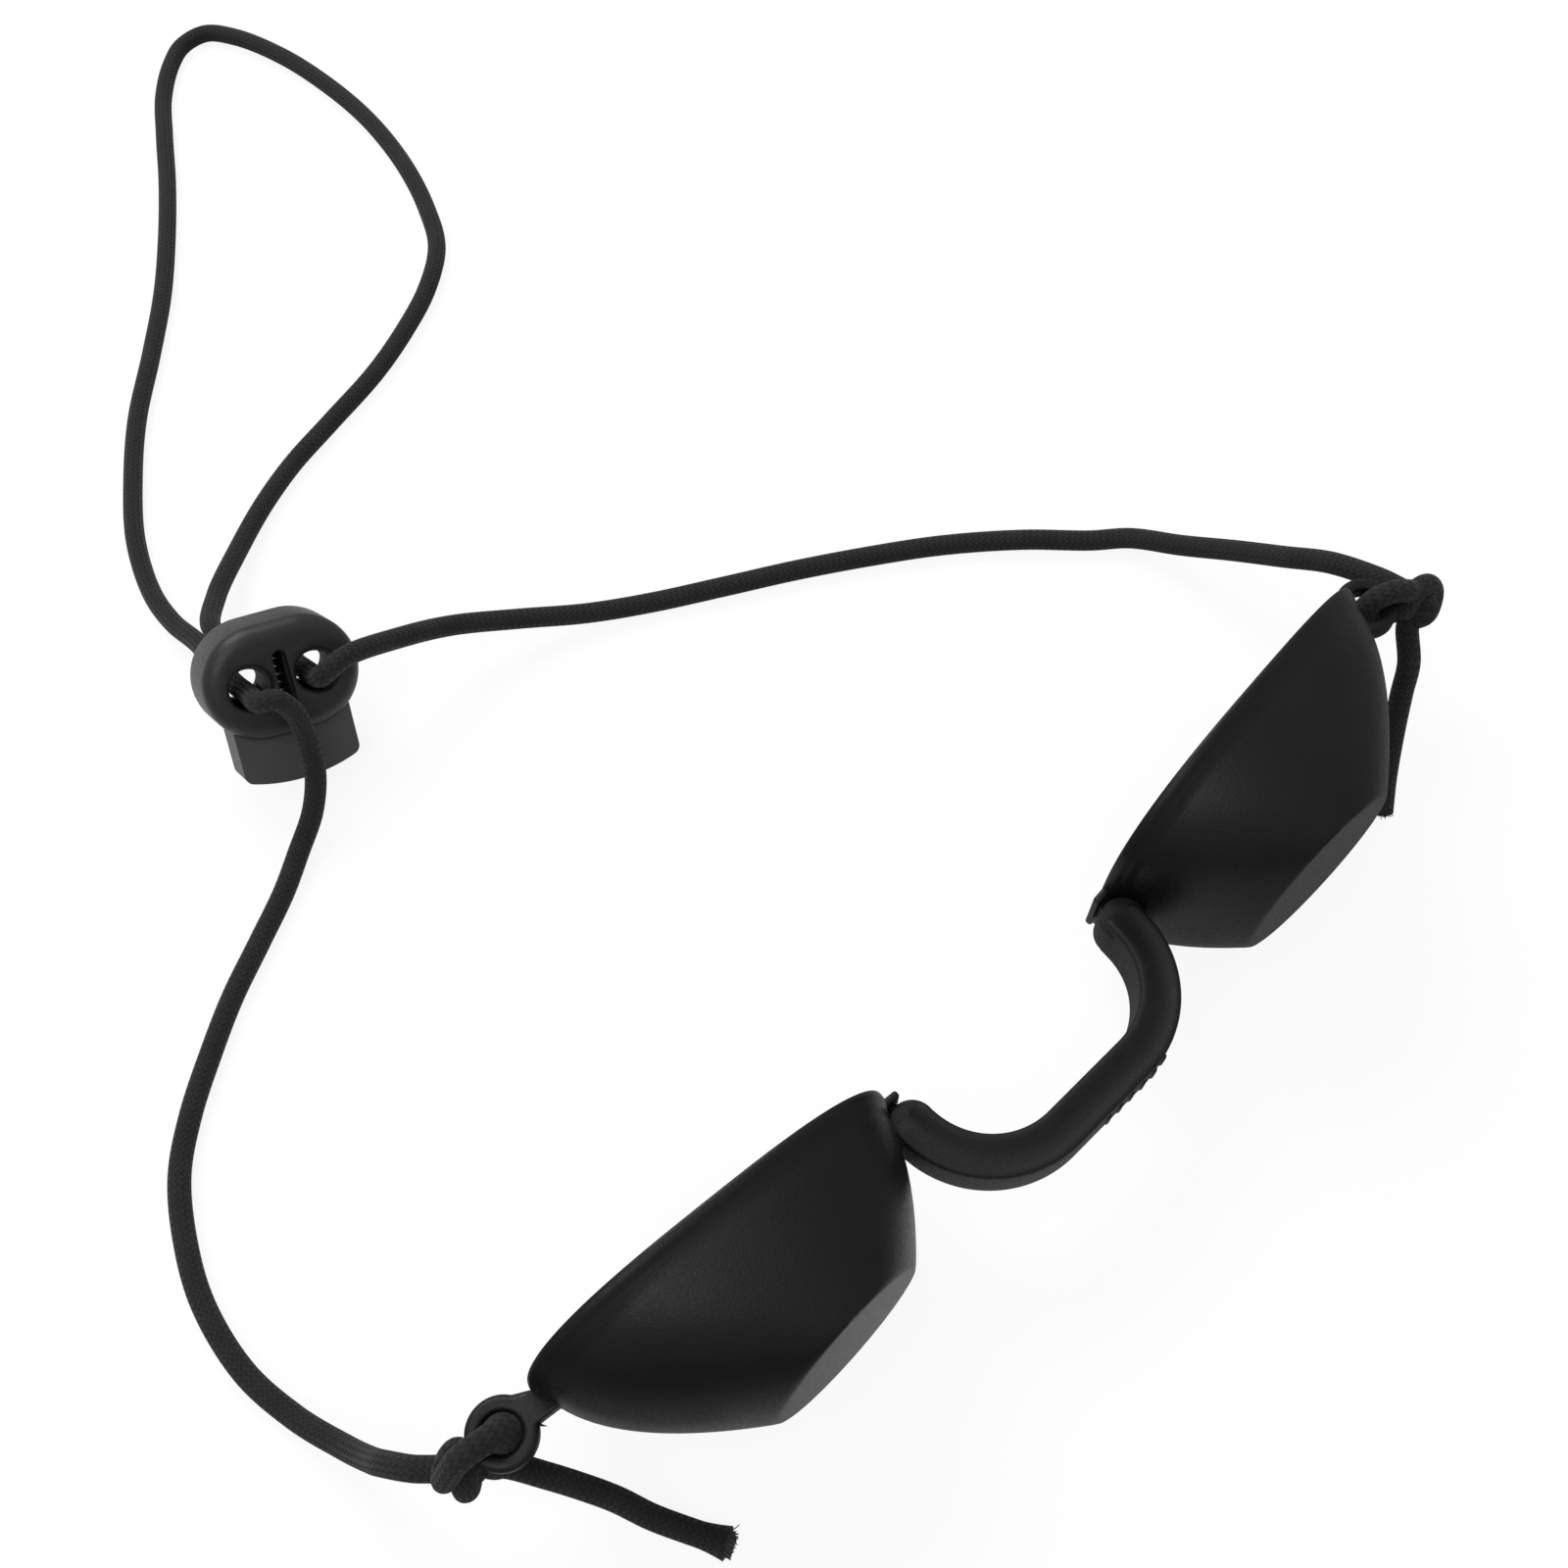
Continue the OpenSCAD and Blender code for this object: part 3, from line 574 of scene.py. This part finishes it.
def cup_shell():
    """Rings from the middle of the front, down the outside, over the lip and back up the inside."""
    def ring(f):
        return [f(t) for t in ANGLES]

    inner, edge = DEPTH - FRONT_T, 0.975
    rings = [ring(lambda t, g=g: front_at(t, g, DEPTH)) for g in (-4.0, -1.2, -0.3)]
    corner = ring(lambda t: front_at(t, 0, DEPTH))
    after = ring(lambda t: wall_at(t, edge, 0, DEPTH))
    rings.append([c * 0.6 + a * 0.2 + b * 0.2 for a, c, b in zip(rings[-1], corner, after)])
    rings.append(after)
    for i in range(1, 20):
        s = edge + (0.15 - edge) * i / 19
        rings.append(ring(lambda t, s=s: wall_at(t, s, 0, DEPTH)))
    for g, y in ((0.04, -1.95), (0.14, -1.6), (0.28, -1.3), (0.43, -1.05), (0.54, -0.8), (LIP, -0.5),
                 (LIP, -0.22), (LIP - 0.06, -0.07), (LIP - 0.22, 0), (-WALL + 0.22, 0), (-WALL + 0.06, -0.07),
                 (-WALL, -0.22)):
        rings.append(ring(lambda t, g=g, y=y: rim_at(t, g) + Vector((0, y, 0))))
    for i in range(1, 15):
        s = 0.03 + 0.97 * i / 14
        rings.append(ring(lambda t, s=s: wall_at(t, s, -WALL, inner)))
    rings += [ring(lambda t, g=g: front_at(t, -WALL + g, inner)) for g in (-0.4, -1.5, -4.0)]
    return skin(rings)


def tab_shape():
    """Flat tab with a round eye: rings round the hole, out to an outline that runs into the rim."""
    y = HOLE.y
    stem = [(-0.9 * TAB_R, -0.4 * TAB_R), (-TAB_REACH - 2, -0.1 - TAB_ROOT - y),
            (-TAB_REACH - 1.4, -0.6 * TAB_ROOT - y), (-TAB_REACH - 0.9, -0.1 - y),
            (LIP + 0.1 - TAB_REACH, -0.1 - y), (-0.74 * TAB_R, 0.65 * TAB_R)]
    line = arc(0, 0, TAB_R, atan2(0.65, -0.74), atan2(-0.4, -0.9), 80)
    for (x0, y0), (x1, y1) in zip(stem, stem[1:]):
        line += [(x0 + (x1 - x0) * k / 6, y0 + (y1 - y0) * k / 6) for k in range(1, 7)]
    line = line[:-1]
    rings, half = [], TAB_T / 2
    for of_hole, grow, z in ((1, 0, 0.5), (1, 0, 0.72), (1, 0.12, 0.88), (1, 0.42, 1.0), (0, -0.42, 1.0),
                             (0, -0.14, 0.9), (0, 0, 0.68), (0, 0, -0.68), (0, -0.14, -0.9), (0, -0.42, -1.0),
                             (1, 0.42, -1.0), (1, 0.12, -0.88), (1, 0, -0.72), (1, 0, -0.5)):
        ring = []
        for p in line:
            far = Vector((p[0], p[1], 0))
            far *= (TAB_HOLE / 2 + grow) / far.length if of_hole else 1 + grow / far.length
            ring.append(HOLE + far + Vector((0, 0, z * half)))
        rings.append(ring)
    return skin(rings, loop=True)


def box_shape(x0, x1, y0, y1, z0, z1):
    return prism([(x0, y0), (x1, y0), (x1, y1), (x0, y1)], z0, z1)


def flange_shape():
    """Flange beside the rim, in the cup's frame."""
    low = PIN_IN[1] + KNUCKLE_R + SWING_GAP
    return box_shape(PIN_IN[0] - FLANGE_IN, 0.5, low, -0.1, -FLANGE_HALF, FLANGE_HALF)


def barrel_shapes():
    """Web and the barrel on it, in the goggles' frame."""
    back = PIN_Y + KNUCKLE_R + SWING_GAP + 0.4
    return [box_shape(PIN_X - WEB_HALF, PIN_X + WEB_HALF, PIN_Y, back, -BARREL_HALF, BARREL_HALF),
            prism(circle(PIN_X, PIN_Y, PIN_R, 40), -BARREL_HALF, BARREL_HALF)]


def join(name, objects):
    """One object of several, keeping each one's shading."""
    bm = bmesh.new()
    for o in objects:
        bm.from_mesh(o.data)
    me = bpy.data.meshes.new(name)
    bm.to_mesh(me)
    bm.free()
    me.materials.append(objects[0].data.materials[0])
    first = bpy.data.objects.new(name, me)
    bpy.context.scene.collection.objects.link(first)
    for o in objects:
        bpy.data.objects.remove(o)
    return first


for side, word in ((1, "right"), (-1, "left")):
    m = STAND @ on_goggles(side)
    flip = STAND @ (Matrix.Scale(-1, 4, (1, 0, 0)) if side < 0 else Matrix.Identity(4))
    shell = make(word + "_shell", *cup_shell(), CUP, m, sharp=42)
    room = prism(circle(PIN_X, PIN_Y, KNUCKLE_R + SWING_GAP, 64), -BRIDGE_H / 2 - 1.1, BRIDGE_H / 2 + 1.1)
    boolean(shell, make("cut", *room, CUP, flip))
    finish_mesh(shell.data, 42)
    tab = make(word + "_tab", *tab_shape(), CUP, m, sharp=50)
    flange = make(word + "_flange", *flange_shape(), CUP, m)
    bevel(flange, 0.28)
    lug = [flange]
    for shape in barrel_shapes():
        lug.append(make(word + "_barrel", *shape, CUP, flip))
        bevel(lug[-1], 0.12)
    if side < 0:    # a sliver of mould flash by the near tab
        sliver = tube([Vector(p) for p in ((43.9, -2.8, 0.3), (43.7, -3.3, 0.32), (43.3, -3.75, 0.4))],
                      lambda s: 0.22 * (1 - 0.9 * s), 8)
        lug.append(make("sliver", *sliver[:2], CUP, m))
    cup = join(word + "_cup_moulding", [shell, tab] + lug)
    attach(cup, word + "_eye")
    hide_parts(word + "_cup")


# Nose bridge
def bridge_lines():
    """Middle line of the bridge with the outward direction at each point, from one pin to the other."""
    cy = MID_Y + BEND_R
    half = [((0.0, MID_Y), -pi / 2), ((FLAT * 0.5, MID_Y), -pi / 2)]
    for i in range(33):
        a = -pi / 2 + (pi / 2 - LEAN) * i / 32
        half.append(((FLAT + BEND_R * cos(a), cy + BEND_R * sin(a)), a))
    end = half[-1][0]
    for s in (0.25 * ARM, 0.5 * ARM, 0.75 * ARM, ARM + ARM_PAST):
        half.append(((end[0] + s * sin(LEAN), end[1] + s * cos(LEAN)), -LEAN))
    other = [((-x, y), pi - a) for (x, y), a in half[:0:-1]]
    return other + half


def round_corners(pts, radii, n):
    """A closed outline with each corner rounded by its own radius."""
    out = []
    for i, (p, r) in enumerate(zip(pts, radii)):
        a, b, c = Vector(pts[i - 1]), Vector(p), Vector(pts[(i + 1) % len(pts)])
        u, w = (a - b).normalized(), (c - b).normalized()
        k = r / tan(u.angle(w) / 2)
        for j in range(n + 1):
            s = j / n
            q = (b + u * k).lerp(b, s).lerp(b.lerp(b + w * k, s), s)
            out.append((q.x, q.y))
    return out


def bridge_shape():
    """The bow: a section creased above and below, carried along the middle line to rounded ends."""
    h, side = BRIDGE_H / 2, GROOVE_AT * BRIDGE_T
    section = [(0, -h), (side, -GROOVE_H * h), (BRIDGE_T, -OUTER_H * h),
               (BRIDGE_T, OUTER_H * h), (side, GROOVE_H * h), (0, h)]
    section = [(q - BRIDGE_T / 2, z) for q, z in round_corners(section, (0.7, 2.6, 0.6, 0.6, 2.6, 0.7), 8)]
    line = bridge_lines()
    rings = [[Vector((x + q * cos(a), y + q * sin(a), z)) for q, z in section] for (x, y), a in line]
    for tip, back in ((0, 1), (-1, -2)):
        (x, y), (bx, by) = line[tip][0], line[back][0]
        middle, ahead = Vector((x, y, 0)), Vector((x - bx, y - by, 0)).normalized()
        soft = [[middle + (v - middle) * (1 - END_SOFT / 4 * (1 - cos(t))) + ahead * END_SOFT * (sin(t) - 1)
                 for v in rings[tip]] for t in (0.0, 0.5, 0.9, 1.25, pi / 2)]
        rings = soft[::-1] + rings[1:] if tip == 0 else rings[:-1] + soft
    return skin(rings)


def pocket_shape(side):
    """Pocket for the barrel, open to the rear."""
    mouth_x, mouth_y = 2, 3.6
    gap, r, half = atan2(mouth_x, mouth_y), PIN_R + PIN_FIT, BARREL_HALF + 0.15
    outline = [(mouth_x, mouth_y), (-mouth_x, mouth_y)] + arc(0, 0, r, pi / 2 + gap, 2.5 * pi - gap, 40)
    return prism([(side * PIN_X + x, PIN_Y + y) for x, y in outline], -half, half)


def rib_shape(x):
    """Round-ended rib that follows the bow's outer face."""
    rings, outer = [], BEND_R + BRIDGE_T / 2
    bend = outer - sqrt(outer ** 2 - max(0, x - FLAT) ** 2)
    y = -BRIDGE_REACH + bend + 0.2
    turn = [2 * pi * k / 20 for k in range(20)]
    for i in range(13):
        a = -pi / 2 + pi * i / 12
        r, z = RIB_R * cos(a) + 0.001, sin(a) * 0.5 + math.copysign(0.9, sin(a)) if i != 6 else 0
        rings.append([Vector((x + r * cos(b), y + r * sin(b), z)) for b in turn])
    return skin(rings)


bow = make("bow", *bridge_shape(), RUBBER, STAND, sharp=0)
for side in (-1, 1):
    disc = prism(circle(side * PIN_X, PIN_Y, KNUCKLE_R, 64), -KNUCKLE_H / 2, KNUCKLE_H / 2)
    end = make("end", *disc, RUBBER, STAND)
    bevel(end, 0.3, segments=4)
    boolean(bow, end, "UNION")
    boolean(bow, make("cut", *pocket_shape(side), RUBBER, STAND))
finish_mesh(bow.data, 40)
ribs = [make("rib", *rib_shape(RIB_MID + RIB_PITCH * (i - (RIB_COUNT - 1) / 2)), RUBBER, STAND, sharp=0)
        for i in range(RIB_COUNT)]
bridge = join("nose_bridge_moulding", [bow] + ribs)
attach(bridge, "bridge_body")
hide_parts("nose_bridge")


# Cord lock
def stadium(r):
    x = (LOCK_W - LOCK_H) / 2
    return arc(x, 0, r, -pi / 2, pi / 2, 40) + arc(-x, 0, r, pi / 2, 3 * pi / 2, 40)


def slot_outline(cx, w, top, bottom):
    return arc(cx, top - w / 2, w / 2, 0, pi, 20) + arc(cx, bottom + w / 2, w / 2, pi, 2 * pi, 20)


def lock_shell():
    """Oval body with rounded edges."""
    edge, rings = 2.0, []
    for s in (-1, 1):
        for i in range(9):
            a = pi / 2 * (i / 8) if s < 0 else pi / 2 * (1 - i / 8)
            r = LOCK_H / 2 - edge + edge * sin(a)
            z = s * (LOCK_T / 2 - edge + edge * cos(a))
            rings.append([Vector((x, y, z)) for x, y in stadium(r)])
    return skin(rings)


def hole_shape(cx):
    """Cord hole with rounded lips, which run 0.02 past the faces so that the cut never lies in a face."""
    half = []
    for i in range(9):
        a = pi / 2 * i / 8
        half.append((HOLE_D / 2 + HOLE_LIP * (1 - cos(a)), LOCK_T / 2 - HOLE_LIP + 0.02 + HOLE_LIP * sin(a)))
    half.append((HOLE_D / 2 + HOLE_LIP, LOCK_T))
    line = [(r, -z) for r, z in half[::-1]] + half
    return skin([[Vector((cx + r * cos(2 * pi * k / 72), r * sin(2 * pi * k / 72), z)) for k in range(72)]
                 for r, z in line])


def roof_arcs(y, r, a0, n):
    """Two arcs over the shoulders, from the right side up and over to the left side."""
    return arc(SHOULDER, y, r, a0, pi / 2, n) + arc(-SHOULDER, y, r, pi / 2, pi - a0, n)


body = make("lock_shell", *lock_shell(), SHELL, LOCK)
room_x, room_z = PLUNGER_HALF + SLIDE, PLUNGER_T / 2 + SLIDE
room_a = math.acos((room_x - SHOULDER) / ROOF)
cavity = [(-room_x, -LOCK_H), (room_x, -LOCK_H)] + roof_arcs(0, ROOF, room_a, 12)
boolean(body, make("cut", *prism(cavity, -room_z, room_z), SHELL, LOCK))
boolean(body, make("cut", *prism(slot_outline(0, 1.7, 3.6, -3.6), -LOCK_T, LOCK_T), SHELL, LOCK))
bevel(body, 0.22, angle=45)
for side in (-1, 1):
    boolean(body, make("cut", *hole_shape(side * PITCH_X / 2), SHELL, LOCK))
finish_mesh(body.data, SHARP)
body.name = "lock_body_moulding"
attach(body, "bridge_body")
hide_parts("lock_body")

top_r, end_r, crown_r = ROOF - SLIDE, 1.2, 20.0
crown_a = math.asin((PLUNGER_HALF - end_r) / (crown_r - end_r))
corner_x, corner_y = PLUNGER_HALF - end_r, crown_r - REACH - (crown_r - end_r) * cos(crown_a)
outline = (arc(0, crown_r - REACH, crown_r, -pi / 2 - crown_a, -pi / 2 + crown_a, 24)
           + arc(corner_x, corner_y, end_r, -pi / 2 + crown_a, 0, 10)[1:]
           + roof_arcs(SEAT - ROOF + SLIDE, top_r, math.acos((PLUNGER_HALF - SHOULDER) / top_r), 16)
           + arc(-corner_x, corner_y, end_r, pi, 1.5 * pi - crown_a, 10)[:-1])
plunger = make("plunger", *prism(outline, -PLUNGER_T / 2, PLUNGER_T / 2), BUTTON, LOCK)
for side in (-1, 1):
    cord_slot = slot_outline(side * PITCH_X / 2, HOLE_D - 0.8, 2, -5.15)
    boolean(plunger, make("cut", *prism(cord_slot, -LOCK_T, LOCK_T), BUTTON, LOCK))
boolean(plunger, make("cut", *box_shape(-0.8, 0.8, SPRING_SEAT, 9, 0, 9), BUTTON, LOCK))
bore = skin([[Vector((SPRING_BORE_R * cos(2 * pi * k / 32), y, SPRING_BORE_R * sin(2 * pi * k / 32)))
              for k in range(32)] for y in (SPRING_SEAT, 9)])
boolean(plunger, make("cut", *bore, BUTTON, LOCK))
bevel(plunger, 0.35, angle=45)
plunger.name = "lock_plunger_moulding"
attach(plunger, "plunger_body")
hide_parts("lock_plunger")

low, high, per_turn = SPRING_SEAT + WIRE_R + 0.05, ROOF - WIRE_R - 0.05, 32
coil = [Vector((COIL_R * cos(2 * pi * i / per_turn), low + (high - low) * i / (per_turn * COIL_TURNS),
                COIL_R * sin(2 * pi * i / per_turn))) for i in range(per_turn * COIL_TURNS + 1)]
v, f, _ = tube(coil, WIRE_R, 10)
spring = make("lock_spring_wire", v, f, STEEL, LOCK, sharp=60, recalc=False)
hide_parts("lock_spring")
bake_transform(spring)


# Floor and light
def plain_floor():
    """White to the camera; dimmer in front and to the right for other rays, as a softly lit table is."""
    m, t, b = nodes_of("floor_white", (0.9, 0.9, 0.9), 0.9)
    ray = t.nodes.new("ShaderNodeLightPath").outputs
    place = t.nodes.new("ShaderNodeSeparateXYZ")
    t.links.new(t.nodes.new("ShaderNodeTexCoord").outputs["Object"], place.inputs[0])
    x, y = place.outputs[0], place.outputs[1]
    full, front_dim, right_dim, share = 0.9, 0.06, 0.25, 0.9
    front = ramp(t, maths(t, "MULTIPLY_ADD", y, 0.6, x), front_dim, full, -0.085, -0.015)
    across = ramp(t, x, full, right_dim, -0.012, 0.022)
    glow = node(t, "Emission")
    t.links.new(maths(t, "MAXIMUM", maths(t, "MINIMUM", front, across), ray["Is Camera Ray"]),
                glow.inputs["Strength"])
    seen = maths(t, "MAXIMUM", ray["Is Camera Ray"], ray["Is Glossy Ray"], clamp=True)
    both = t.nodes.new("ShaderNodeMixShader")
    t.links.new(maths(t, "MULTIPLY", seen, share), both.inputs[0])
    t.links.new(b.outputs[0], both.inputs[1])
    t.links.new(glow.outputs[0], both.inputs[2])
    t.links.new(both.outputs[0], t.nodes["Material Output"].inputs[0])
    return m


HALF, LEVEL = 3, -0.0001                  # half the floor's width, and its height just under the part
floor_me = bpy.data.meshes.new("floor")
floor_me.from_pydata([(-HALF, -HALF, LEVEL), (HALF, -HALF, LEVEL), (HALF, HALF, LEVEL), (-HALF, HALF, LEVEL)],
                     [], [(0, 1, 2, 3)])
floor_me.materials.append(plain_floor())
floor = bpy.data.objects.new("floor", floor_me)
bpy.context.scene.collection.objects.link(floor)

# White sky, at full strength for the camera and at half strength as light
world =bpy.data.worlds.new("world")
bpy.context.scene.world = world
world.use_nodes = True
tree = world.node_tree
sky = tree.nodes["Background"]
sky.inputs[0].default_value = (1, 1, 1, 1)
is_camera = tree.nodes.new("ShaderNodeLightPath").outputs["Is Camera Ray"]
tree.links.new(ramp(tree, is_camera, 0.5, 1.0), sky.inputs[1])


def lamp(name, place, aim, size, power):
    """A round soft lamp; places in metres."""
    d = bpy.data.lights.new(name, "AREA")
    d.shape, d.size, d.energy = "DISK", size, power
    o = bpy.data.objects.new(name, d)
    bpy.context.scene.collection.objects.link(o)
    o.location = place
    o.rotation_euler = (Vector(aim) - Vector(place)).to_track_quat("-Z", "Y").to_euler()


lamp("key", (0.15, 0.55, 0.75), (0, 0.06, 0), 0.55, 5.0)
lamp("fill", (-0.32, -0.12, 0.8), (0, 0.05, 0), 0.65, 2.3)
bpy.context.scene.view_settings.view_transform = "Standard"
